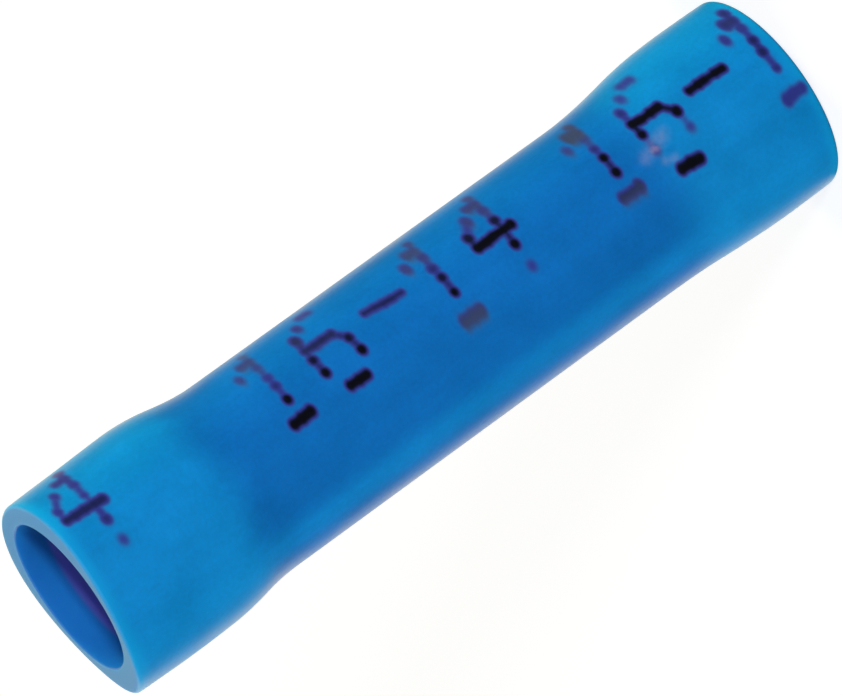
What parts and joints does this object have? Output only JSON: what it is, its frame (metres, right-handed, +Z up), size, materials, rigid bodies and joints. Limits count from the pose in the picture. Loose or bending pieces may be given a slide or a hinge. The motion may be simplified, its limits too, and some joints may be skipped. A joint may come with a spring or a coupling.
{
  "type": "butt splice connector",
  "caption": "Insulated butt splice connector: a tinned copper crimp barrel with a wire stop, held in a blue vinyl sleeve belled out at both mouths.",
  "frame": {"origin": "centre of the lower mouth's end face, on the axis, on the surface that the connector stands on", "axes": "+Z up along the axis to the upper mouth; X and Y across it, with the printed numbers on the -Y to +X side"},
  "size_m": [0.0064, 0.0064, 0.0254],
  "materials": {
    "blue_vinyl": "extruded blue vinyl, satin gloss, slightly translucent",
    "tinned_copper": "bright tin plate over drawn copper tube",
    "marking_ink": "thin dark violet-black marking ink on vinyl"
  },
  "bodies": {
    "root": {"insulating_sleeve": "blue_vinyl", "crimp_barrel": "tinned_copper"}
  },
  "joints": []
}
